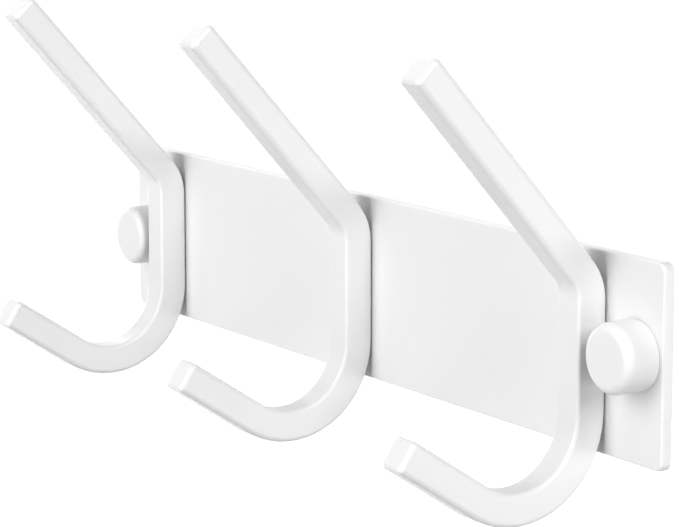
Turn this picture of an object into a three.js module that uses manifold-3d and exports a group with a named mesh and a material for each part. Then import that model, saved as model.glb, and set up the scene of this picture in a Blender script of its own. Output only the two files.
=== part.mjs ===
// Wall coat rack: a steel back plate, three hooks bent from square bar, the countersunk screws that
// hold them from behind, and a cover that clips on a base over each wall screw hole.
// Millimetres. The origin is the centre of the plate's rear face, which lies on the wall. +X is to
// the right of someone who faces the rack, -Y points out of the wall and +Z is up. Profiles and the
// bar's centreline are drawn with "out", the distance from the wall, which is -Y.
import * as THREE from 'three';
import { mergeVertices } from 'three/addons/utils/BufferGeometryUtils.js';
import Module from 'manifold-3d';

// Fits
const seatGap = 0.3; // air between two pieces that bear on each other
const screwClearance = 0.35; // radial, round a screw and its head
const snapClearance = 0.3; // between a cover's snap rib and the rim that it passes
const cutOverrun = 1; // how far a cutter reaches past the face that it opens

// Back plate
const plateWidth = 300;
const plateHeight = 60;
const plateThickness = 4;
const plateCornerRadius = 2.5;
const plateEdgeRadius = 0.8;

// Hooks
const barWidth = 10;
const barDepth = 10;
const barEdgeRadius = 1;
const barEndRadius = 1.2;
const runAboveMiddle = 16; // straight run on the plate, from the plate's mid height up
const runBelowMiddle = 17;
const upperBendRadius = 13.5; // bend radii are those of the bar's centreline
const upperBendAngle = 42;
const upperArmLength = 82;
const lowerBendRadius = 25;
const lowerBendAngle = 123.5;
const lowerArmLength = 31;

// Hook screws, driven from behind the plate
const hookScrewSpacing = 18;
const hookScrewRadius = 2.5;
const hookScrewTipChamfer = 0.6;
const hookScrewHeadRadius = 4.6;
const hookScrewHeadLand = 0.3;
const hookScrewSink = 0.2; // how far the head lies below the plate's rear face
const hookSocketRadius = 1.73;
const hookSocketDepth = 1.5;
const tappedHoleSpare = 1.2; // hole left free past the screw's tip
const tappedHoleWall = 1.2; // metal left between the hole's drill point and the bar's front
const drillPointAngle = 118;

// Wall screw holes and the bases set in them
const wallScrewOffset = 2; // right hole above mid height, left hole below it
const baseBoreRadius = 3.1;
const screwHeadSeatWidth = 2.7; // ring round the bore that the wall screw's head bears on
const screwHeadRecessDepth = 4.2;
const baseWall = 2.4; // round the head's recess
const baseHeight = 6.6;
const baseFlangeHeight = 1.6;
const baseGrooveHeight = 1.8;
const baseGrooveDepth = 0.6;
const baseRimChamfer = 0.8;
const spigotWall = 1.7;

// Covers
const coverWall = 1.7; // at the foot
const coverTaper = 0.1; // how much smaller the radius is at the front
const coverRimRadius = 3;
const coverInnerRimRadius = 1.2; // keeps the wall even behind the rim
const coverFaceThickness = 1.8;
const coverHeadroom = 2.6; // air between the base and the inside of the cover's face
const coverEndMargin = 1.4; // from the cover to the plate's end
const coverHookGap = 2.4; // from the cover to the hook beside it
const coverMouthChamfer = 0.4;
const snapRibHeight = 0.4;
const snapRibLength = 1.2;

// Smoothness of the faceted curves
const barCornerSteps = 2; // an arc of an outline gets twice its steps
const bendStepAngle = 6;
const endRoundingSteps = 4;
const plateCornerSteps = 3;
const plateEdgeSteps = 3;
const coverRimSteps = 6;
const coverInnerRimSteps = 3;
const coverSides = 48;
const baseSides = 40;
const screwSides = 24;
const socketSides = 6;

const powderCoat = new THREE.MeshStandardMaterial({ color: 0xf1f1f1, roughness: 0.5, metalness: 0 });
const coverPlastic = new THREE.MeshStandardMaterial({ color: 0xf4f4f4, roughness: 0.42, metalness: 0 });
const basePlastic = new THREE.MeshStandardMaterial({ color: 0xe4e4e2, roughness: 0.55, metalness: 0 });
const zincSteel = new THREE.MeshStandardMaterial({ color: 0xb8bcc2, roughness: 0.34, metalness: 1 });

// Sizes and places that pieces share
const screwHeadRecessRadius = baseBoreRadius + screwHeadSeatWidth;
const baseRadius = screwHeadRecessRadius + baseWall;
const baseSpigotRadius = baseBoreRadius + spigotWall;
const coverBoreRadius = baseRadius + snapClearance + snapRibHeight;
const coverFootRadius = coverBoreRadius + coverWall;
const wallScrewX = plateWidth / 2 - coverEndMargin - coverFootRadius;
const wallScrewPlaces = {
  left: { x: -wallScrewX, z: -wallScrewOffset },
  right: { x: wallScrewX, z: wallScrewOffset },
};
const hookPitch = wallScrewX - coverFootRadius - coverHookGap - barWidth / 2;
const hookPlaces = { left: -hookPitch, middle: 0, right: hookPitch };
const hookScrewHeights = { upper: hookScrewSpacing / 2, lower: -hookScrewSpacing / 2 };
const seatOut = plateThickness + seatGap;
const tappedHoleRadius = hookScrewRadius + screwClearance;
const drillPointLength = tappedHoleRadius / Math.tan(THREE.MathUtils.degToRad(drillPointAngle / 2));
const tappedHoleEndOut = seatOut + barDepth - tappedHoleWall - drillPointLength;
const screwTipOut = tappedHoleEndOut - tappedHoleSpare;
const screwLandOut = hookScrewSink + hookScrewHeadLand;

const wasm = await Module();
wasm.setup();

// A closed mesh as a solid that can be cut
function toSolid(geometry) {
  const bare = geometry.clone();
  bare.deleteAttribute('normal');
  bare.deleteAttribute('uv');
  const merged = mergeVertices(bare);
  const vertProperties = new Float32Array(merged.attributes.position.array);
  const triVerts = new Uint32Array(merged.index.array);
  return new wasm.Manifold(new wasm.Mesh({ numProp: 3, vertProperties, triVerts }));
}

// A geometry with each cutter taken away from it
function cut(geometry, cutters) {
  let solid = toSolid(geometry);
  for (const cutter of cutters) {
    solid = solid.subtract(toSolid(cutter));
  }
  const mesh = solid.getMesh();
  const result = new THREE.BufferGeometry();
  result.setAttribute('position', new THREE.BufferAttribute(mesh.vertProperties, 3));
  result.setIndex(new THREE.BufferAttribute(mesh.triVerts, 1));
  result.computeVertexNormals();
  return result;
}

// A body of revolution about Y. Its profile holds [radius, out] pairs, first along the outside from
// the front towards the wall.
function revolve(profile, sides) {
  return new THREE.LatheGeometry(profile.map(([radius, out]) => new THREE.Vector2(radius, -out)), sides);
}

// Quarter of a circle in a profile, from its front point to its outer point
function outerFillet(radius, out, filletRadius, steps) {
  const curve = new THREE.EllipseCurve(
    radius - filletRadius, out - filletRadius, filletRadius, filletRadius, Math.PI / 2, 0, true);
  return curve.getPoints(steps).map((point) => [point.x, point.y]);
}

// Rectangle with rounded corners, centred on the origin
function roundedRectangle(width, height, radius) {
  const x = width / 2 - radius;
  const y = height / 2 - radius;
  const shape = new THREE.Shape();
  shape.absarc(x, y, radius, 0, Math.PI / 2);
  shape.absarc(-x, y, radius, Math.PI / 2, Math.PI);
  shape.absarc(-x, -y, radius, Math.PI, Math.PI * 3 / 2);
  shape.absarc(x, -y, radius, Math.PI * 3 / 2, Math.PI * 2);
  return shape;
}

// Clearance round one hook screw, from behind the plate to the end of the tapped hole in the hook
function hookScrewCutter() {
  const head = hookScrewHeadRadius + screwClearance;
  return revolve([
    [0, tappedHoleEndOut + drillPointLength],
    [tappedHoleRadius, tappedHoleEndOut],
    [tappedHoleRadius, screwLandOut + hookScrewHeadRadius - hookScrewRadius],
    [head, screwLandOut],
    [head, -cutOverrun],
    [0, -cutOverrun],
  ], screwSides);
}

// Countersunk socket screw with a hexagon recess, its head towards the wall
function hookScrewGeometry() {
  const body = revolve([
    [0, screwTipOut],
    [hookScrewRadius - hookScrewTipChamfer, screwTipOut],
    [hookScrewRadius, screwTipOut - hookScrewTipChamfer],
    [hookScrewRadius, screwLandOut + hookScrewHeadRadius - hookScrewRadius],
    [hookScrewHeadRadius, screwLandOut],
    [hookScrewHeadRadius, hookScrewSink],
    [0, hookScrewSink],
  ], screwSides);
  const socketLength = hookSocketDepth + cutOverrun;
  const socket = new THREE.CylinderGeometry(hookSocketRadius, hookSocketRadius, socketLength, socketSides);
  socket.translate(0, socketLength / 2 - hookScrewSink - hookSocketDepth, 0);
  return cut(body, [socket]);
}

// Back plate with eased edges, its countersunk hook screw holes and its two wall screw holes
function backPlateGeometry() {
  const outline = roundedRectangle(plateWidth, plateHeight, plateCornerRadius);
  const plate = new THREE.ExtrudeGeometry(outline, {
    depth: plateThickness - 2 * plateEdgeRadius,
    curveSegments: plateCornerSteps,
    bevelEnabled: true,
    bevelThickness: plateEdgeRadius,
    bevelSize: plateEdgeRadius,
    bevelOffset: -plateEdgeRadius,
    bevelSegments: plateEdgeSteps,
  });
  plate.translate(0, 0, plateEdgeRadius);
  plate.rotateX(Math.PI / 2);

  const cutters = [];
  for (const x of Object.values(hookPlaces)) {
    for (const z of Object.values(hookScrewHeights)) {
      cutters.push(hookScrewCutter().translate(x, 0, z));
    }
  }
  const spigotHole = baseSpigotRadius + seatGap;
  for (const place of Object.values(wallScrewPlaces)) {
    const cutter = revolve([
      [0, plateThickness + cutOverrun],
      [spigotHole, plateThickness + cutOverrun],
      [spigotHole, -cutOverrun],
      [0, -cutOverrun],
    ], baseSides);
    cutters.push(cutter.translate(place.x, 0, place.z));
  }
  return cut(plate, cutters);
}

// Centreline of a hook in its own plane, x being out and y height, from the upper tip to the lower
// one: arm, bend, run, bend, arm.
function hookCentreline() {
  const runOut = seatOut + barDepth / 2;
  const upper = THREE.MathUtils.degToRad(upperBendAngle);
  const lower = THREE.MathUtils.degToRad(lowerBendAngle);
  const upperBend = new THREE.EllipseCurve(
    runOut + upperBendRadius, runAboveMiddle, upperBendRadius, upperBendRadius, Math.PI - upper, Math.PI);
  const lowerBend = new THREE.EllipseCurve(
    runOut + lowerBendRadius, -runBelowMiddle, lowerBendRadius, lowerBendRadius, Math.PI, Math.PI + lower);
  const upperTip = upperBend.getPoint(0).addScaledVector(upperBend.getTangent(0), -upperArmLength);
  const lowerTip = lowerBend.getPoint(1).addScaledVector(lowerBend.getTangent(1), lowerArmLength);
  return { upperTip, upperBend, lowerBend, lowerTip };
}

// Stations of one end, from its flat face to the full section, rounding the edge between them. The
// direction points from the end into the bar.
function endStations(tip, direction) {
  const stations = [];
  for (let step = 0; step <= endRoundingSteps; step++) {
    const angle = (Math.PI / 2) * (step / endRoundingSteps);
    const back = barEndRadius * (1 - Math.cos(angle));
    const inset = barEndRadius * (1 - Math.sin(angle));
    stations.push({ point: tip.clone().addScaledVector(direction, back), inset });
  }
  return stations;
}

// Stations of a bend, with the bar's direction at each
function bendStations(curve, bendAngle) {
  const steps = Math.ceil(bendAngle / bendStepAngle);
  const stations = [];
  for (let step = 0; step <= steps; step++) {
    const share = step / steps;
    stations.push({ point: curve.getPoint(share), direction: curve.getTangent(share), inset: 0 });
  }
  return stations;
}

// Stations along the whole bar: where its centre is, which way it runs, how much its section shrinks
function barStations() {
  const { upperTip, upperBend, lowerBend, lowerTip } = hookCentreline();
  const downIn = upperBend.getTangent(0);
  const upOut = lowerBend.getTangent(1);
  const upperEnd = endStations(upperTip, downIn).map((station) => ({ ...station, direction: downIn }));
  const lowerEnd = endStations(lowerTip, upOut.clone().negate())
    .reverse()
    .map((station) => ({ ...station, direction: upOut }));
  return [
    ...upperEnd,
    ...bendStations(upperBend, upperBendAngle),
    ...bendStations(lowerBend, lowerBendAngle),
    ...lowerEnd,
  ];
}

// Solid swept by the bar's rounded square section along its stations, closed by a fan at each end
function sweepBar() {
  const section = roundedRectangle(barWidth, barDepth, barEdgeRadius).getPoints(barCornerSteps);
  if (section[0].distanceTo(section[section.length - 1]) === 0) section.pop();
  const stations = barStations();
  const positions = [];
  for (const { point, direction, inset } of stations) {
    const across = new THREE.Vector2(-direction.y, direction.x);
    for (const corner of section) {
      const side = corner.x * (1 - 2 * inset / barWidth);
      const depth = corner.y * (1 - 2 * inset / barDepth);
      const place = point.clone().addScaledVector(across, depth);
      positions.push(side, -place.x, place.y);
    }
  }
  const count = section.length;
  const indices = [];
  for (let ring = 0; ring < stations.length - 1; ring++) {
    for (let i = 0; i < count; i++) {
      const next = (i + 1) % count;
      const here = ring * count;
      const below = here + count;
      indices.push(here + i, here + next, below + next);
      indices.push(here + i, below + next, below + i);
    }
  }
  const last = (stations.length - 1) * count;
  for (let i = 1; i < count - 1; i++) {
    indices.push(0, i + 1, i);
    indices.push(last, last + i, last + i + 1);
  }
  const geometry = new THREE.BufferGeometry();
  geometry.setAttribute('position', new THREE.Float32BufferAttribute(positions, 3));
  geometry.setIndex(indices);
  return geometry;
}

// One hook with its two tapped blind holes
function hookGeometry() {
  const cutters = Object.values(hookScrewHeights).map((z) => hookScrewCutter().translate(0, 0, z));
  return cut(sweepBar(), cutters);
}

// Base of a cover: flange on the plate, groove and rim that the cover snaps on, a recess for the
// wall screw's head, and a spigot that centres it in the plate
function capBaseGeometry() {
  const front = seatOut + baseHeight;
  const grooveFoot = seatOut + baseFlangeHeight;
  const grooveTop = grooveFoot + baseGrooveHeight;
  const recessFloor = front - screwHeadRecessDepth;
  return revolve([
    [screwHeadRecessRadius, front],
    [baseRadius - baseRimChamfer, front],
    [baseRadius, front - baseRimChamfer],
    [baseRadius, grooveTop],
    [baseRadius - baseGrooveDepth, grooveTop],
    [baseRadius - baseGrooveDepth, grooveFoot],
    [baseRadius, grooveFoot],
    [baseRadius, seatOut],
    [baseSpigotRadius, seatOut],
    [baseSpigotRadius, seatGap],
    [baseBoreRadius, seatGap],
    [baseBoreRadius, recessFloor],
    [screwHeadRecessRadius, recessFloor],
    [screwHeadRecessRadius, front],
  ], baseSides);
}

// Hollow cover with a well rounded rim, a little wider at its foot, and a snap rib inside its mouth
function capCoverGeometry() {
  const inside = seatOut + baseHeight + coverHeadroom;
  const front = inside + coverFaceThickness;
  const frontRadius = coverFootRadius - coverTaper;
  const ribMiddle = seatOut + baseFlangeHeight + baseGrooveHeight / 2;
  const ribCrest = ribMiddle + snapRibLength / 2 - snapRibHeight;
  const ribRoot = ribMiddle - snapRibLength / 2 + snapRibHeight;
  return revolve([
    [0, front],
    ...outerFillet(frontRadius, front, coverRimRadius, coverRimSteps),
    [coverFootRadius, seatOut],
    [coverBoreRadius + coverMouthChamfer, seatOut],
    [coverBoreRadius, seatOut + coverMouthChamfer],
    [coverBoreRadius, ribMiddle - snapRibLength / 2],
    [coverBoreRadius - snapRibHeight, ribRoot],
    [coverBoreRadius - snapRibHeight, ribCrest],
    [coverBoreRadius, ribMiddle + snapRibLength / 2],
    ...outerFillet(coverBoreRadius, inside, coverInnerRimRadius, coverInnerRimSteps).reverse(),
    [0, inside],
  ], coverSides);
}

function namedMesh(name, geometry, material) {
  const mesh = new THREE.Mesh(geometry, material);
  mesh.name = name;
  return mesh;
}

// A hook with its screws, placed along the plate
function hookGroup(side, x) {
  const group = new THREE.Group();
  group.position.x = x;
  group.add(namedMesh(`hook_${side}`, hookGeometry(), powderCoat));
  for (const [level, z] of Object.entries(hookScrewHeights)) {
    const screw = namedMesh(`hook_screw_${side}_${level}`, hookScrewGeometry(), zincSteel);
    screw.position.z = z;
    group.add(screw);
  }
  return group;
}

// A cover on its base, placed at a wall screw hole
function capGroup(side, place) {
  const group = new THREE.Group();
  group.position.set(place.x, 0, place.z);
  group.add(namedMesh(`cap_base_${side}`, capBaseGeometry(), basePlastic));
  group.add(namedMesh(`cap_cover_${side}`, capCoverGeometry(), coverPlastic));
  return group;
}

const rack = new THREE.Group();
rack.add(namedMesh('back_plate', backPlateGeometry(), powderCoat));
for (const [side, x] of Object.entries(hookPlaces)) {
  rack.add(hookGroup(side, x));
}
for (const [side, place] of Object.entries(wallScrewPlaces)) {
  rack.add(capGroup(side, place));
}

export default rack;
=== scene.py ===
"""Wall coat rack: its finished surfaces, the studio it stands in and the camera.

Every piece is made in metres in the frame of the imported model: X to the right of someone who faces
the rack, -Y out of the wall, Z up, and the origin at the centre of the back plate's rear face.
"""
import math

import bpy
from bpy.props import (
    FloatProperty,
    FloatVectorProperty,
    IntProperty,
    PointerProperty,
)
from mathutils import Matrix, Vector


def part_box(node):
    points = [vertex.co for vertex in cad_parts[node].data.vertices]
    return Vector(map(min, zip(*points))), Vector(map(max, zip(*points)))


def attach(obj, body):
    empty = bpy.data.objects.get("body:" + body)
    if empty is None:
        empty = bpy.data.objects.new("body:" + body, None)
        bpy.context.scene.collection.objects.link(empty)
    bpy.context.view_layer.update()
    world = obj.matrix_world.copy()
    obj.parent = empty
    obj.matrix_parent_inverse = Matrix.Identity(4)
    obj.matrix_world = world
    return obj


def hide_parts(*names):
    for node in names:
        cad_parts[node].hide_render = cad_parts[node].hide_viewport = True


bl_info = {
    "name": "Wall coat rack",
    "version": (1, 0, 0),
    "blender": (4, 5, 0),
    "location": "3D View > Sidebar > Coat rack",
    "description": "Builds a powder coated wall rack with bent square bar hooks and round covers",
    "category": "Object",
}

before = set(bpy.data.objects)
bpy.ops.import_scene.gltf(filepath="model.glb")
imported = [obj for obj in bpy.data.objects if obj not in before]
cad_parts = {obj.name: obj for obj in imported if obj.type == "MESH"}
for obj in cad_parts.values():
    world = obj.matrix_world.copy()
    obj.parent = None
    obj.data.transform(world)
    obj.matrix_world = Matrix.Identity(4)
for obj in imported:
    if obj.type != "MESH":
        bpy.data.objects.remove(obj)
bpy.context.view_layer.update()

SIDES = ("left", "middle", "right")
CAP_SIDES = ("left", "right")
LEVELS = ("upper", "lower")
SCREW_NODES = [f"hook_screw_{side}_{level}" for side in SIDES for level in LEVELS]
RACK_BODY = "rack"

QUARTER_TURN = math.pi / 2

# How finely the curves are divided: steps in a quarter circle, degrees in a step along a bend, and
# sides round a turned piece.
CORNER_STEPS = 8
PLATE_EDGE_STEPS = 5
BAR_EDGE_STEPS = 8
BAR_END_STEPS = 8
COVER_RIM_STEPS = 12
BEND_STEP = 2.5
SCREW_SIDES = 48
SOCKET_SIDES = 6
# How far a cutter reaches past what it cuts, and the height of the cone at a drilled hole's bottom.
OVERRUN = 0.001
DRILL_POINT = 0.001
# The weight of large flat faces against small ones in the shading.
FACE_WEIGHT = 100

# Noise patterns: the size of the grain in metres, and the detail.
ORANGE_PEEL = (0.0016, 2.0)
COAT_GRAIN = (0.0003, 4.0)
CLOUD = (0.03, 2.0)
PLASTIC_GRAIN = (0.00035, 3.0)
ZINC_BLOTCH = (0.0012, 5.0)
ZINC_SCRATCH = (0.0002, 2.0)
MEAN_NOISE = 0.5
# How deep the relief of the powder coat and of the zinc is, in metres, the orange peel's share of
# the powder coat's relief, and how much of a bump's depth shows.
COAT_RELIEF = 0.000012
ZINC_RELIEF = 0.000004
PEEL_SHARE = 0.8
BUMP_STRENGTH = 1.0
# What is left of a colour where its pattern is darkest, and how far a pattern moves the roughness.
COAT_SHADE = 0.985
ZINC_SHADE = 0.8
GLOSS_SPREAD = 0.06
ZINC_GLOSS_SPREAD = 0.2
ZINC_ROUGHNESS = 0.26
METAL = 1.0
# The moulded plastics: their roughness, the depth of their texture in metres and their specular.
COVER_FINISH = (0.34, 0.000002, 0.2)
BASE_FINISH = (0.45, 0.000008, 0.5)

WHITE = (1.0, 1.0, 1.0)
# The floor's size in metres, its own grey in the light that it gives back, its glow near the rack,
# and the distances between which that glow rises to white.
FLOOR_SIZE = 40.0
FLOOR_GREY = (0.38, 0.38, 0.38)
FLOOR_GLOW = (0.25, 0.25, 0.25)
FLOOR_FADE = (1.5, 4.0)
# Each lamp's azimuth and elevation in degrees, seen from the rack, its width and height in metres
# and its power in watts. Azimuth 0 is straight out of the wall and 90 is to the right.
LAMPS = {
    "front_softbox": (0, 3, 2.4, 2.4, 75),
    "high_front_softbox": (-8, 30, 2.4, 2.4, 84),
    "side_strip": (90, 34, 0.8, 2.8, 103),
    "low_side_strip": (88, -8, 0.8, 2.0, 34),
    "low_rear_softbox": (124, -6, 1.4, 1.2, 20),
    "rear_left_softbox": (-120, 22, 2.0, 2.0, 12),
    "high_left_softbox": (-100, 30, 1.6, 1.6, 11),
    "left_softbox": (-92, 3, 1.6, 1.6, 45),
    "rear_softbox": (180, -4, 3.0, 1.6, 28),
}
# The camera's sensor in millimetres, and the nearest and furthest that it sees in metres.
SENSOR_WIDTH = 36.0
CLIP_START = 0.01
CLIP_END = 100.0


def middle_of(node):
    """Centre of a CAD node's box."""
    low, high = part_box(node)
    return (low + high) / 2


def extent_of(node):
    """Size of a CAD node's box along X, Y and Z."""
    low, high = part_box(node)
    return high - low


def reach_of(node):
    """How far a CAD node's rear and its front stand from the wall."""
    low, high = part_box(node)
    return -high.y, -low.y


def length_property(name, description, default):
    return FloatProperty(
        name=name, description=description, default=default, unit="LENGTH", precision=5)


def angle_property(name, description, default):
    return FloatProperty(name=name, description=description, default=default, subtype="ANGLE")


def color_property(name, description, default):
    return FloatVectorProperty(
        name=name, description=description, default=default, subtype="COLOR",
        size=3, min=0, max=1)


class PlateSizes(bpy.types.PropertyGroup):
    """Sizes of the back plate."""

    width: length_property(
        "Width", "Length of the plate along the wall", extent_of("back_plate").x)
    height: length_property("Height", "Height of the plate", extent_of("back_plate").z)
    thickness: length_property(
        "Thickness", "Thickness of the plate", extent_of("back_plate").y)
    corner_radius: length_property(
        "Corner radius", "Radius of the plate's four corners", 0.0025)
    edge_radius: length_property(
        "Edge radius", "Radius that eases the plate's edges", 0.0008)


class HookSizes(bpy.types.PropertyGroup):
    """Sizes of the bent bar that each hook is made of."""

    bar: length_property("Bar", "Side of the square bar", extent_of("hook_middle").x)
    edge_radius: length_property(
        "Edge radius", "Radius along the edges of the straight run", 0.001)
    arm_edge_radius: length_property(
        "Arm edge radius", "Radius along the edges of the two arms", 0.0018)
    end_radius: length_property("End radius", "Radius round the bar's two end faces", 0.0015)
    run_above: length_property(
        "Run above", "Straight run above the plate's mid height", 0.016)
    run_below: length_property(
        "Run below", "Straight run below the plate's mid height", 0.017)
    upper_bend: length_property("Upper bend", "Centreline radius of the upper bend", 0.0135)
    lower_bend: length_property("Lower bend", "Centreline radius of the lower bend", 0.025)
    upper_arm: length_property("Upper arm", "Straight length of the upper arm", 0.082)
    lower_arm: length_property("Lower arm", "Straight length of the lower arm", 0.031)
    upper_angle: angle_property("Upper angle", "Angle of the upper bend", math.radians(42))
    lower_angle: angle_property("Lower angle", "Angle of the lower bend", math.radians(123.5))


class FixingSizes(bpy.types.PropertyGroup):
    """Sizes of the screws, the cap bases and the covers."""

    screw_radius: length_property("Screw radius", "Radius of a hook screw's shank", 0.0025)
    screw_head: length_property("Screw head", "Radius of a hook screw's head", 0.0046)
    screw_land: length_property("Head land", "Straight edge of a hook screw's head", 0.0003)
    screw_chamfer: length_property("Screw chamfer", "Chamfer on a hook screw's tip", 0.0006)
    socket_radius: length_property(
        "Socket radius", "Radius over the corners of the hexagon socket", 0.00173)
    socket_depth: length_property("Socket depth", "Depth of the hexagon socket", 0.0015)
    clearance: length_property("Clearance", "Air round a hook screw", 0.00035)
    seat_gap: length_property(
        "Seat gap", "Air between two pieces that bear on each other", 0.0003)
    base_radius: length_property(
        "Base radius", "Radius of the rim that a cover clips on", 0.0082)
    base_bore: length_property("Base bore", "Radius of the wall screw's bore", 0.0031)
    base_flange: length_property("Base flange", "Height of a base's flange", 0.0016)
    base_chamfer: length_property("Base chamfer", "Chamfer on a base's rim", 0.0008)
    groove_height: length_property(
        "Groove height", "Height of the groove above the flange", 0.0018)
    groove_depth: length_property(
        "Groove depth", "Depth of the groove above the flange", 0.0006)
    recess_radius: length_property(
        "Recess radius", "Radius of the wall screw head's recess", 0.0058)
    recess_depth: length_property(
        "Recess depth", "Depth of the wall screw head's recess", 0.0042)
    spigot_radius: length_property(
        "Spigot radius", "Radius of a base's spigot in the plate", 0.0048)
    cover_front: length_property("Cover front", "Radius of a cover at its front", 0.0105)
    cover_rim: length_property("Cover rim", "Radius round a cover's front face", 0.003)
    cover_inner_rim: length_property(
        "Inner rim", "Radius inside a cover, behind its rim", 0.0012)
    cover_face: length_property("Cover face", "Thickness of a cover's face", 0.0018)
    mouth_chamfer: length_property(
        "Mouth chamfer", "Chamfer inside a cover's mouth", 0.0004)
    rib_gap: length_property(
        "Rib gap", "Air between a cover's rib and the rim that it passes", 0.0003)
    rib_height: length_property("Rib height", "Height of the rib inside a cover", 0.0004)
    rib_width: length_property("Rib width", "Width of the rib inside a cover", 0.0012)
    cover_sides: IntProperty(
        name="Cover sides", description="Facets round a base and a cover", default=96)


class RackFinish(bpy.types.PropertyGroup):
    """Colours and gloss of the rack's finishes."""

    coat_color: color_property("Powder coat", "Colour of the powder coat", (0.8, 0.8, 0.8))
    coat_roughness: FloatProperty(
        name="Coat roughness", description="Roughness of the powder coat",
        default=0.3, min=0, max=1)
    cover_color: color_property("Cover plastic", "Colour of the covers", (0.82, 0.82, 0.82))
    base_color: color_property("Base plastic", "Colour of the cap bases", (0.74, 0.74, 0.72))
    screw_color: color_property("Zinc plate", "Colour of the screws", (0.5, 0.52, 0.56))


class StageSettings(bpy.types.PropertyGroup):
    """The studio and the camera."""

    floor_drop: length_property("Floor drop", "How far the floor lies below the rack", 1.2)
    world_strength: FloatProperty(
        name="Surrounding light", description="Strength of the studio's even light",
        default=0.04)
    lamp_strength: FloatProperty(
        name="Lamps", description="Factor on the power of all lamps", default=1)
    lamp_distance: length_property(
        "Lamp distance", "How far the lamps stand from the rack", 4)
    camera_place: FloatVectorProperty(
        name="Camera place", description="Where the camera stands", subtype="TRANSLATION",
        size=3, default=(0.7125, -0.4853, 0.1642))
    camera_turn: angle_property(
        "Camera turn", "How far the camera is turned to its left", 0.98603)
    camera_dip: angle_property("Camera dip", "How far the camera looks down", 0.15495)
    camera_lens: FloatProperty(
        name="Lens", description="Focal length on a 36 mm sensor, in millimetres",
        default=141.98)
    camera_shift: FloatProperty(
        name="Shift",
        description="Vertical shift of the lens, as a share of the picture's width",
        default=-0.1)


class Value:
    """A number socket, so that shader maths is written as Python expressions."""

    def __init__(self, tree, socket):
        self.tree = tree
        self.socket = socket

    def _math(self, operation, first, second):
        return self.tree.value(
            "ShaderNodeMath", {"operation": operation}, {0: first, 1: second})

    def __add__(self, other):
        return self._math("ADD", self, other)

    def __radd__(self, other):
        return self._math("ADD", other, self)

    def __sub__(self, other):
        return self._math("SUBTRACT", self, other)

    def __rsub__(self, other):
        return self._math("SUBTRACT", other, self)

    def __mul__(self, other):
        return self._math("MULTIPLY", self, other)

    def __rmul__(self, other):
        return self._math("MULTIPLY", other, self)


class Tree:
    """Adds nodes to a node tree, with their settings first and then their inputs."""

    def __init__(self, tree):
        self.tree = tree

    def node(self, kind, settings=None, inputs=None):
        made = self.tree.nodes.new(kind)
        for name, value in (settings or {}).items():
            setattr(made, name, value)
        for key, value in (inputs or {}).items():
            target = made.inputs[key]
            if isinstance(value, Value):
                self.tree.links.new(value.socket, target)
            elif isinstance(value, bpy.types.NodeSocket):
                self.tree.links.new(value, target)
            else:
                target.default_value = value
        return made

    def value(self, kind, settings=None, inputs=None):
        """A node's first output, for use in expressions."""
        return Value(self, self.node(kind, settings, inputs).outputs[0])


def new_material(name):
    """An empty material and a tree helper for its nodes."""
    material = bpy.data.materials.new(name)
    material.use_nodes = True
    material.node_tree.nodes.clear()
    return material, Tree(material.node_tree)


def surface_output(tree, shader):
    tree.node("ShaderNodeOutputMaterial", {}, {"Surface": shader.outputs[0]})


def with_alpha(color):
    return (*color, 1.0)


def object_noise(tree, pattern):
    """Noise on the object's own coordinates."""
    grain, detail = pattern
    place = tree.node("ShaderNodeTexCoord").outputs["Object"]
    return tree.value(
        "ShaderNodeTexNoise", {}, {"Vector": place, "Scale": 1 / grain, "Detail": detail})


def raised(tree, height, relief):
    """Normal of a surface whose pattern stands up to relief metres proud."""
    bump = tree.node("ShaderNodeBump", {}, {
        "Strength": BUMP_STRENGTH, "Distance": relief, "Height": height})
    return bump.outputs[0]


def blended(tree, factor, first, second):
    """Colour that goes from the first to the second as the factor rises to 1."""
    mix = tree.node(
        "ShaderNodeMix", {"data_type": "RGBA"},
        {"Factor": factor, "A": with_alpha(first), "B": with_alpha(second)})
    return mix.outputs["Result"]


def mottled(tree, pattern, color, shade):
    """The colour, darkened to a share of itself where the pattern is low."""
    return blended(tree, pattern, [channel * shade for channel in color], color)


def powder_coat(finish):
    """Satin white powder coat: faint orange peel, fine grain and a little unevenness in gloss."""
    material, tree = new_material("powder_coat")
    peel = object_noise(tree, ORANGE_PEEL)
    grain = object_noise(tree, COAT_GRAIN)
    cloud = object_noise(tree, CLOUD)
    relief = peel * PEEL_SHARE + grain * (1 - PEEL_SHARE)
    shader = tree.node("ShaderNodeBsdfPrincipled", {}, {
        "Base Color": mottled(tree, cloud, finish.coat_color, COAT_SHADE),
        "Roughness": finish.coat_roughness + (cloud - MEAN_NOISE) * GLOSS_SPREAD,
        "Normal": raised(tree, relief, COAT_RELIEF),
    })
    surface_output(tree, shader)
    return material


def moulded_plastic(name, color, finish):
    """Satin moulded plastic with a fine eroded texture."""
    roughness, relief, specular = finish
    material, tree = new_material(name)
    grain = object_noise(tree, PLASTIC_GRAIN)
    cloud = object_noise(tree, CLOUD)
    shader = tree.node("ShaderNodeBsdfPrincipled", {}, {
        "Base Color": mottled(tree, cloud, color, COAT_SHADE),
        "Roughness": roughness + (grain - MEAN_NOISE) * GLOSS_SPREAD,
        "Specular IOR Level": specular,
        "Normal": raised(tree, grain, relief),
    })
    surface_output(tree, shader)
    return material


def zinc_steel(finish):
    """Bright zinc plate: metal with blotches in its colour and gloss, and fine scratches."""
    material, tree = new_material("zinc_steel")
    blotch = object_noise(tree, ZINC_BLOTCH)
    scratch = object_noise(tree, ZINC_SCRATCH)
    shader = tree.node("ShaderNodeBsdfPrincipled", {}, {
        "Base Color": mottled(tree, blotch, finish.screw_color, ZINC_SHADE),
        "Metallic": METAL,
        "Roughness": ZINC_ROUGHNESS + blotch * ZINC_GLOSS_SPREAD,
        "Normal": raised(tree, scratch, ZINC_RELIEF),
    })
    surface_output(tree, shader)
    return material


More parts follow.
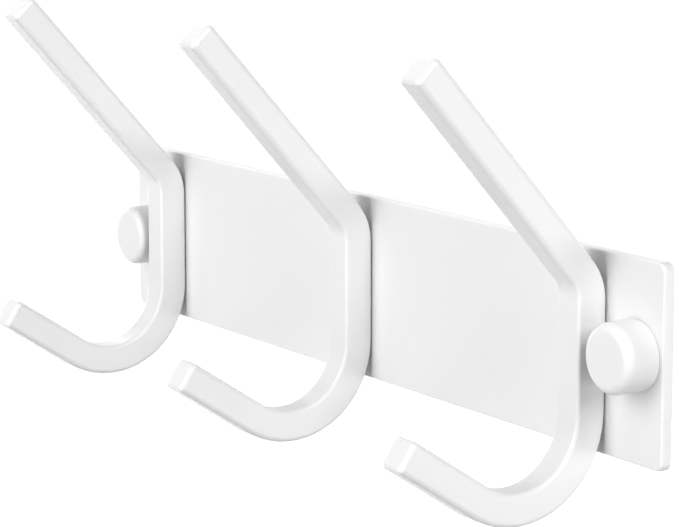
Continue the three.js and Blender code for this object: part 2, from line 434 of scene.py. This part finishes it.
MAKERS = {
    "powder_coat": powder_coat,
    "cover_plastic": lambda finish: moulded_plastic(
        "cover_plastic", finish.cover_color, COVER_FINISH),
    "base_plastic": lambda finish: moulded_plastic(
        "base_plastic", finish.base_color, BASE_FINISH),
    "zinc_steel": zinc_steel,
}
MADE = set()


def finished_material(name):
    """The material of that name, made on first use. A CAD material of the same name makes way."""
    known = bpy.data.materials.get(name)
    if known and name in MADE:
        return known
    if known:
        known.name = "cad_" + name
    MADE.add(name)
    return MAKERS[name](bpy.context.scene.rack_finish)


def new_mesh_object(name, vertices, faces=(), edges=()):
    mesh = bpy.data.meshes.new(name)
    mesh.from_pydata(vertices, edges, faces)
    mesh.validate()
    piece = bpy.data.objects.new(name, mesh)
    bpy.context.scene.collection.objects.link(piece)
    return piece


def revolved(name, profile, sides, centre):
    """A body turned about the Y axis through centre. The profile holds (radius, out) pairs, out
    being the distance from the wall, from the front round the outside to the rear. It closes on
    itself or starts and ends on the axis."""
    closed = profile[0] == profile[-1]
    points = profile[:-1] if closed else profile
    vertices = []
    rows = []
    for radius, out in points:
        first = len(vertices)
        if radius == 0:
            rows.append([first] * sides)
            vertices.append((centre.x, -out, centre.z))
            continue
        rows.append(range(first, first + sides))
        for i in range(sides):
            angle = math.tau * i / sides
            x = centre.x + radius * math.cos(angle)
            z = centre.z + radius * math.sin(angle)
            vertices.append((x, -out, z))
    pairs = list(zip(rows, rows[1:]))
    if closed:
        pairs.append((rows[-1], rows[0]))
    faces = []
    for here, after in pairs:
        for i in range(sides):
            k = (i + 1) % sides
            corners = tuple(dict.fromkeys((here[i], after[i], after[k], here[k])))
            if len(corners) > 2:
                faces.append(corners)
    return new_mesh_object(name, vertices, faces)


def arc(centre, radius, start, end, steps):
    """Points of an arc, angles in radians, both ends included."""
    points = []
    for i in range(steps + 1):
        angle = start + (end - start) * i / steps
        x = centre[0] + radius * math.cos(angle)
        y = centre[1] + radius * math.sin(angle)
        points.append((x, y))
    return points


def rounded_outline(width, height, radius, steps):
    """Rounded rectangle about the origin, anticlockwise."""
    points = []
    for quarter, (sx, sy) in enumerate(((1, 1), (-1, 1), (-1, -1), (1, -1))):
        centre = (sx * (width / 2 - radius), sy * (height / 2 - radius))
        start = quarter * QUARTER_TURN
        points += arc(centre, radius, start, start + QUARTER_TURN, steps)
    return points


def ring_faces(rings, count):
    """Quads between closed rings of count points each."""
    faces = []
    for first in range(0, (rings - 1) * count, count):
        after = first + count
        for i in range(count):
            k = (i + 1) % count
            faces.append((first + i, first + k, after + k, after + i))
    return faces


def settle(piece):
    """Turns a piece and its modifiers into a plain mesh."""
    graph = bpy.context.evaluated_depsgraph_get()
    mesh = bpy.data.meshes.new_from_object(piece.evaluated_get(graph))
    piece.modifiers.clear()
    piece.data = mesh


def cut_away(piece, cutters):
    """Cuts each cutter out of the piece and deletes the cutters."""
    for cutter in cutters:
        modifier = piece.modifiers.new("cut", "BOOLEAN")
        modifier.object = cutter
        modifier.solver = "EXACT"
    settle(piece)
    for cutter in cutters:
        bpy.data.objects.remove(cutter)


def smooth_faces(piece):
    """Smooth shading whose flat faces stay flat."""
    piece.data.shade_smooth()
    weighted = piece.modifiers.new("flat faces stay flat", "WEIGHTED_NORMAL")
    weighted.mode = "FACE_AREA"
    weighted.weight = FACE_WEIGHT
    weighted.keep_sharp = True


def dress(piece, material, body, *nodes):
    """Gives a finished piece its shading, material and body, and hides the CAD nodes that it stands
    for.
    """
    smooth_faces(piece)
    piece.data.materials.clear()
    piece.data.materials.append(finished_material(material))
    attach(piece, body)
    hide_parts(*nodes)


def new_group(name, inputs):
    """An empty Geometry Nodes tree, its tree helper and the sockets of its named inputs."""
    group = bpy.data.node_groups.new(name, "GeometryNodeTree")
    for label, kind in inputs.items():
        group.interface.new_socket(label, in_out="INPUT", socket_type="NodeSocket" + kind)
    group.interface.new_socket("Piece", in_out="OUTPUT", socket_type="NodeSocketGeometry")
    tree = Tree(group)
    return group, tree, tree.node("NodeGroupInput").outputs


def group_output(tree, geometry, material):
    """Ends a Geometry Nodes tree in real faces that have their material."""
    solid = tree.node("GeometryNodeRealizeInstances", {}, {"Geometry": geometry})
    painted = tree.node(
        "GeometryNodeSetMaterial", {}, {"Geometry": solid.outputs[0], "Material": material})
    tree.node("NodeGroupOutput", {}, {0: painted.outputs[0]})


def grow(piece, group, inputs):
    """Runs a Geometry Nodes tree on a piece and keeps its result as a plain mesh."""
    modifier = piece.modifiers.new(group.name, "NODES")
    modifier.node_group = group
    sockets = {
        item.name: item.identifier
        for item in group.interface.items_tree if item.in_out == "INPUT"}
    for label, value in inputs.items():
        modifier[sockets[label]] = value
    settle(piece)


def screw_cutter(node):
    """Clearance round a hook screw, from behind the plate to past the screw's tip."""
    sizes = bpy.context.scene.rack_fixings
    sink, tip = reach_of(node)
    shank = sizes.screw_radius + sizes.clearance
    head = sizes.screw_head + sizes.clearance
    land = sink + sizes.screw_land
    return revolved("screw_cutter", [
        (0, tip + OVERRUN + DRILL_POINT),
        (shank, tip + OVERRUN),
        (shank, land + sizes.screw_head - sizes.screw_radius),
        (head, land),
        (head, -OVERRUN),
        (0, -OVERRUN),
    ], SCREW_SIDES, middle_of(node))


def spigot_cutter(node):
    """Hole in the plate round a base's spigot."""
    sizes = bpy.context.scene.rack_fixings
    radius = sizes.spigot_radius + sizes.seat_gap
    front = bpy.context.scene.rack_plate.thickness + OVERRUN
    return revolved("spigot_cutter", [
        (0, front),
        (radius, front),
        (radius, -OVERRUN),
        (0, -OVERRUN),
    ], SCREW_SIDES, middle_of(node))


class RACK_OT_back_plate(bpy.types.Operator):
    """Make the back plate with its eased edges and its holes."""

    bl_idname = "rack.back_plate"
    bl_label = "Back plate"

    def execute(self, context):
        sizes = context.scene.rack_plate
        outline = rounded_outline(
            sizes.width, sizes.height, sizes.corner_radius, CORNER_STEPS)
        edge = arc(
            (sizes.edge_radius, sizes.edge_radius), sizes.edge_radius,
            math.pi, math.pi + QUARTER_TURN, PLATE_EDGE_STEPS)
        rings = [(inset, depth) for inset, depth in reversed(edge)]
        rings += [(inset, sizes.thickness - depth) for inset, depth in edge]
        half_width, half_height = sizes.width / 2, sizes.height / 2
        vertices = [
            (x * (1 - inset / half_width), -depth, z * (1 - inset / half_height))
            for inset, depth in rings for x, z in outline]
        count = len(outline)
        faces = ring_faces(len(rings), count)
        faces.append(tuple(reversed(range(count))))
        faces.append(tuple(range(len(vertices) - count, len(vertices))))
        plate = new_mesh_object("back_plate_coated", vertices, faces)
        cutters = [screw_cutter(node) for node in SCREW_NODES]
        cutters += [spigot_cutter(f"cap_base_{side}") for side in CAP_SIDES]
        cut_away(plate, cutters)
        dress(plate, "powder_coat", RACK_BODY, "back_plate")
        return {"FINISHED"}


def bend_steps(angle):
    """How many steps a bend of that angle is divided into."""
    return round(math.degrees(angle) / BEND_STEP)


def rounded_end(start, way, length, sizes):
    """Points of an arm from its bend's end on, out to its flat end, as hook_path gives them."""
    points = []
    for step in range(BAR_END_STEPS + 1):
        angle = QUARTER_TURN * step / BAR_END_STEPS
        reach = length - sizes.end_radius * (1 - math.sin(angle))
        share = 1 - 2 * sizes.end_radius * (1 - math.cos(angle)) / sizes.bar
        points.append((start + way * reach, share, 1.0))
    return points


def hook_path(sizes, seat):
    """Points of a hook's centreline in its own plane, from the upper tip to the lower one. With
    each come the share of the section that is left where the ends are rounded, and a softness,
    which is 0 for the edges of the run and 1 for those of the arms."""
    run = seat + sizes.bar / 2
    upper = arc(
        (run + sizes.upper_bend, sizes.run_above), sizes.upper_bend,
        math.pi - sizes.upper_angle, math.pi, bend_steps(sizes.upper_angle))
    lower = arc(
        (run + sizes.lower_bend, -sizes.run_below), sizes.lower_bend,
        math.pi, math.pi + sizes.lower_angle, bend_steps(sizes.lower_angle))
    upper_way = Vector((math.sin(sizes.upper_angle), math.cos(sizes.upper_angle)))
    lower_way = Vector((math.sin(sizes.lower_angle), -math.cos(sizes.lower_angle)))
    points = [(Vector(point), 1.0, 1 - i / (len(upper) - 1)) for i, point in enumerate(upper)]
    points += [(Vector(point), 1.0, i / (len(lower) - 1)) for i, point in enumerate(lower)]
    upper_end = rounded_end(Vector(upper[0]), upper_way, sizes.upper_arm, sizes)
    lower_end = rounded_end(Vector(lower[-1]), lower_way, sizes.lower_arm, sizes)
    return list(reversed(upper_end)) + points + lower_end


def bar_group():
    """Geometry Nodes tree that sweeps a rounded square section along a path of edges."""
    group, tree, given = new_group("swept_bar", {
        "Path": "Geometry", "Bar": "Float", "Edge Radius": "Float", "Edge Steps": "Int",
        "Material": "Material"})
    share = tree.node(
        "GeometryNodeInputNamedAttribute", {"data_type": "FLOAT"}, {"Name": "section_share"})
    path = tree.node("GeometryNodeMeshToCurve", {}, {"Mesh": given["Path"]})
    square = tree.node(
        "GeometryNodeCurvePrimitiveQuadrilateral", {},
        {"Width": given["Bar"], "Height": given["Bar"]})
    section = tree.node("GeometryNodeFilletCurve", {"mode": "POLY"}, {
        "Curve": square.outputs[0], "Count": given["Edge Steps"],
        "Radius": given["Edge Radius"], "Limit Radius": True})
    swept = tree.node("GeometryNodeCurveToMesh", {}, {
        "Curve": path.outputs[0], "Profile Curve": section.outputs[0],
        "Scale": share.outputs[0], "Fill Caps": True})
    group_output(tree, swept.outputs[0], given["Material"])
    return group


def soften_arms(hook, path, sizes):
    """Rounds the edges of a swept bar further where its path is soft. The sections of the mesh
    follow the path, in either direction, and each corner's points move from the radius along the
    run's edges out to the one along the arms'."""
    vertices = hook.data.vertices
    count = len(vertices) // len(path)
    rings = [vertices[start:start + count] for start in range(0, len(vertices), count)]
    if rings[0][0].co.z < rings[-1][0].co.z:
        rings.reverse()
    for ring, (_, share, softness) in zip(rings, path):
        centre = sum((vertex.co for vertex in ring), Vector()) / count
        small = sizes.edge_radius * share
        flat = sizes.bar / 2 * share - small
        growth = (sizes.arm_edge_radius - sizes.edge_radius) * share * softness
        for vertex in ring:
            off = vertex.co - centre
            side, front = abs(off.x), math.hypot(off.y, off.z)
            side_scale = 1 - growth * (1 - (side - flat) / small) / side
            front_scale = 1 - growth * (1 - (front - flat) / small) / front
            vertex.co = centre + Vector(
                (off.x * side_scale, off.y * front_scale, off.z * front_scale))


class RACK_OT_hooks(bpy.types.Operator):
    """Bend the three hooks from square bar and drill them for their screws."""

    bl_idname = "rack.hooks"
    bl_label = "Hooks"

    def execute(self, context):
        sizes = context.scene.rack_hooks
        group = bar_group()
        seat, _ = reach_of("hook_middle")
        path = hook_path(sizes, seat)
        edges = [(i, i + 1) for i in range(len(path) - 1)]
        for side in SIDES:
            node = f"hook_{side}"
            x = middle_of(node).x
            vertices = [(x, -point.x, point.y) for point, _, _ in path]
            hook = new_mesh_object(f"{node}_coated", vertices, edges=edges)
            shares = hook.data.attributes.new("section_share", "FLOAT", "POINT")
            shares.data.foreach_set("value", [share for _, share, _ in path])
            grow(hook, group, {
                "Bar": sizes.bar, "Edge Radius": sizes.edge_radius,
                "Edge Steps": BAR_EDGE_STEPS, "Material": finished_material("powder_coat")})
            soften_arms(hook, path, sizes)
            cut_away(hook, [screw_cutter(f"hook_screw_{side}_{level}") for level in LEVELS])
            dress(hook, "powder_coat", RACK_BODY, node)
        return {"FINISHED"}


def screw_group():
    """Geometry Nodes tree that sets one screw at every point."""
    group, tree, given = new_group("set_screws", {
        "Places": "Geometry", "Screw": "Object", "Material": "Material"})
    screw = tree.node("GeometryNodeObjectInfo", {}, {"Object": given["Screw"]})
    placed = tree.node("GeometryNodeInstanceOnPoints", {}, {
        "Points": given["Places"], "Instance": screw.outputs["Geometry"]})
    group_output(tree, placed.outputs[0], given["Material"])
    return group


class RACK_OT_hook_screws(bpy.types.Operator):
    """Make the countersunk socket screws that hold the hooks."""

    bl_idname = "rack.hook_screws"
    bl_label = "Hook screws"

    def execute(self, context):
        sizes = context.scene.rack_fixings
        sink, tip = reach_of(SCREW_NODES[0])
        land = sink + sizes.screw_land
        centre = Vector((0, 0, 0))
        screw = revolved("screw", [
            (0, tip),
            (sizes.screw_radius - sizes.screw_chamfer, tip),
            (sizes.screw_radius, tip - sizes.screw_chamfer),
            (sizes.screw_radius, land + sizes.screw_head - sizes.screw_radius),
            (sizes.screw_head, land),
            (sizes.screw_head, sink),
            (0, sink),
        ], SCREW_SIDES, centre)
        socket = revolved("socket", [
            (0, sink + sizes.socket_depth),
            (sizes.socket_radius, sink + sizes.socket_depth),
            (sizes.socket_radius, -OVERRUN),
            (0, -OVERRUN),
        ], SOCKET_SIDES, centre)
        cut_away(screw, [socket])
        places = [middle_of(node) for node in SCREW_NODES]
        screws = new_mesh_object("hook_screws", [(place.x, 0, place.z) for place in places])
        grow(screws, screw_group(), {
            "Screw": screw, "Material": finished_material("zinc_steel")})
        bpy.data.objects.remove(screw)
        dress(screws, "zinc_steel", RACK_BODY, *SCREW_NODES)
        return {"FINISHED"}


class RACK_OT_cap_bases(bpy.types.Operator):
    """Turn the two bases that the covers clip on."""

    bl_idname = "rack.cap_bases"
    bl_label = "Cap bases"

    def execute(self, context):
        sizes = context.scene.rack_fixings
        seat = context.scene.rack_plate.thickness + sizes.seat_gap
        groove_foot = seat + sizes.base_flange
        groove_top = groove_foot + sizes.groove_height
        groove = sizes.base_radius - sizes.groove_depth
        for side in CAP_SIDES:
            node = f"cap_base_{side}"
            rear, front = reach_of(node)
            floor = front - sizes.recess_depth
            base = revolved(f"{node}_moulded", [
                (sizes.recess_radius, front),
                (sizes.base_radius - sizes.base_chamfer, front),
                (sizes.base_radius, front - sizes.base_chamfer),
                (sizes.base_radius, groove_top),
                (groove, groove_top),
                (groove, groove_foot),
                (sizes.base_radius, groove_foot),
                (sizes.base_radius, seat),
                (sizes.spigot_radius, seat),
                (sizes.spigot_radius, rear),
                (sizes.base_bore, rear),
                (sizes.base_bore, floor),
                (sizes.recess_radius, floor),
                (sizes.recess_radius, front),
            ], sizes.cover_sides, middle_of(node))
            dress(base, "base_plastic", RACK_BODY, node)
        return {"FINISHED"}


def rim_arc(radius, out, rounding):
    """Quarter circle of a profile, from its front point to its outer point."""
    centre = (radius - rounding, out - rounding)
    return arc(centre, rounding, QUARTER_TURN, 0, COVER_RIM_STEPS)


class RACK_OT_cap_covers(bpy.types.Operator):
    """Turn the two hollow covers over the wall screws."""

    bl_idname = "rack.cap_covers"
    bl_label = "Cap covers"

    def execute(self, context):
        sizes = context.scene.rack_fixings
        bore = sizes.base_radius + sizes.rib_gap + sizes.rib_height
        half_root = sizes.rib_width / 2
        half_crest = half_root - sizes.rib_height
        for side in CAP_SIDES:
            node = f"cap_cover_{side}"
            foot, front = reach_of(node)
            foot_radius = extent_of(node).x / 2
            inside = front - sizes.cover_face
            rib = foot + sizes.base_flange + sizes.groove_height / 2
            cover = revolved(f"{node}_moulded", [
                (0, front),
                *rim_arc(sizes.cover_front, front, sizes.cover_rim),
                (foot_radius, foot),
                (bore + sizes.mouth_chamfer, foot),
                (bore, foot + sizes.mouth_chamfer),
                (bore, rib - half_root),
                (bore - sizes.rib_height, rib - half_crest),
                (bore - sizes.rib_height, rib + half_crest),
                (bore, rib + half_root),
                *reversed(rim_arc(bore, inside, sizes.cover_inner_rim)),
                (0, inside),
            ], sizes.cover_sides, middle_of(node))
            dress(cover, "cover_plastic", node, node)
        return {"FINISHED"}


def seen_directly(tree):
    """1 where the camera, metal or glass sees the surface, 0 for the light that it gives back."""
    path = tree.node("ShaderNodeLightPath").outputs
    camera = Value(tree, path["Is Camera Ray"])
    glossy = Value(tree, path["Is Glossy Ray"])
    through = Value(tree, path["Is Transmission Ray"])
    return tree.value("ShaderNodeClamp", {}, {"Value": camera + glossy + through})


def floor_material():
    """Pale floor that reads white where it is lit and keeps its shadows."""
    material, tree = new_material("studio_floor")
    near, far = FLOOR_FADE
    place = tree.node("ShaderNodeTexCoord").outputs["Object"]
    away = tree.node("ShaderNodeVectorMath", {"operation": "LENGTH"}, {0: place})
    fade = tree.value("ShaderNodeMapRange", {"interpolation_type": "SMOOTHSTEP"}, {
        "Value": away.outputs["Value"], "From Min": near, "From Max": far})
    glow = tree.node("ShaderNodeEmission", {}, {"Color": blended(tree, fade, FLOOR_GLOW, WHITE)})
    pale = tree.node("ShaderNodeBsdfDiffuse", {}, {"Color": with_alpha(WHITE)})
    grey = tree.node("ShaderNodeBsdfDiffuse", {}, {"Color": with_alpha(FLOOR_GREY)})
    white = tree.node("ShaderNodeAddShader", {}, {0: pale.outputs[0], 1: glow.outputs[0]})
    shader = tree.node(
        "ShaderNodeMixShader", {},
        {0: seen_directly(tree), 1: grey.outputs[0], 2: white.outputs[0]})
    surface_output(tree, shader)
    return material


def add_floor(settings):
    half = FLOOR_SIZE / 2
    corners = [
        (x * half, y * half, -settings.floor_drop)
        for x, y in ((-1, -1), (1, -1), (1, 1), (-1, 1))]
    floor = new_mesh_object("studio_floor", corners, [(0, 1, 2, 3)])
    floor.data.materials.append(floor_material())


def light_world(context, settings):
    """Even white light from all round, pure white where the camera sees it."""
    world = bpy.data.worlds.new("studio")
    world.use_nodes = True
    world.node_tree.nodes.clear()
    tree = Tree(world.node_tree)
    strength = settings.world_strength + seen_directly(tree) * (1 - settings.world_strength)
    sky = tree.node(
        "ShaderNodeBackground", {}, {"Color": with_alpha(WHITE), "Strength": strength})
    tree.node("ShaderNodeOutputWorld", {}, {"Surface": sky.outputs[0]})
    context.scene.world = world


def add_lamp(context, settings, name, azimuth, elevation, width, height, power):
    """Soft rectangular lamp that looks at the rack from the given direction."""
    turn, rise = math.radians(azimuth), math.radians(elevation)
    level = math.cos(rise)
    way = Vector((math.sin(turn) * level, -math.cos(turn) * level, math.sin(rise)))
    light = bpy.data.lights.new(name, "AREA")
    light.shape = "RECTANGLE"
    light.size = width
    light.size_y = height
    light.energy = power * settings.lamp_strength
    lamp = bpy.data.objects.new(name, light)
    lamp.location = way * settings.lamp_distance
    lamp.rotation_euler = way.to_track_quat("Z", "Y").to_euler()
    context.scene.collection.objects.link(lamp)


def add_camera(context, settings):
    """Camera at the photograph's angle, for a picture of 679 by 527 pixels."""
    data = bpy.data.cameras.new("camera")
    data.sensor_width = SENSOR_WIDTH
    data.lens = settings.camera_lens
    data.shift_y = settings.camera_shift
    data.clip_start = CLIP_START
    data.clip_end = CLIP_END
    camera = bpy.data.objects.new("camera", data)
    camera.location = settings.camera_place
    camera.rotation_euler = (QUARTER_TURN - settings.camera_dip, 0, settings.camera_turn)
    context.scene.collection.objects.link(camera)
    context.scene.camera = camera


class RACK_OT_stage(bpy.types.Operator):
    """Set the floor, the light and the camera."""

    bl_idname = "rack.stage"
    bl_label = "Studio"

    def execute(self, context):
        settings = context.scene.rack_stage
        add_floor(settings)
        light_world(context, settings)
        for name, lamp in LAMPS.items():
            add_lamp(context, settings, name, *lamp)
        add_camera(context, settings)
        context.scene.view_settings.view_transform = "Standard"
        return {"FINISHED"}


SETTINGS = {
    "rack_plate": PlateSizes,
    "rack_hooks": HookSizes,
    "rack_fixings": FixingSizes,
    "rack_finish": RackFinish,
    "rack_stage": StageSettings,
}
STEPS = (
    RACK_OT_back_plate,
    RACK_OT_hooks,
    RACK_OT_hook_screws,
    RACK_OT_cap_bases,
    RACK_OT_cap_covers,
    RACK_OT_stage,
)


class RACK_PT_panel(bpy.types.Panel):
    """Sizes, finishes and build steps of the coat rack."""

    bl_idname = "RACK_PT_panel"
    bl_label = "Coat rack"
    bl_space_type = "VIEW_3D"
    bl_region_type = "UI"
    bl_category = "Coat rack"

    def draw(self, context):
        for name in SETTINGS:
            box = self.layout.box()
            group = getattr(context.scene, name)
            for key in group.__annotations__:
                box.prop(group, key)
        for step in STEPS:
            self.layout.operator(step.bl_idname)


def register():
    for name, group in SETTINGS.items():
        bpy.utils.register_class(group)
        setattr(bpy.types.Scene, name, PointerProperty(type=group))
    for step in STEPS:
        bpy.utils.register_class(step)
    bpy.utils.register_class(RACK_PT_panel)


def unregister():
    bpy.utils.unregister_class(RACK_PT_panel)
    for step in reversed(STEPS):
        bpy.utils.unregister_class(step)
    for name, group in reversed(SETTINGS.items()):
        delattr(bpy.types.Scene, name)
        bpy.utils.unregister_class(group)


def main():
    """Builds the whole scene."""
    register()
    for step in STEPS:
        category, name = step.bl_idname.split(".")
        getattr(getattr(bpy.ops, category), name)()


if __name__ == "__main__":
    main()
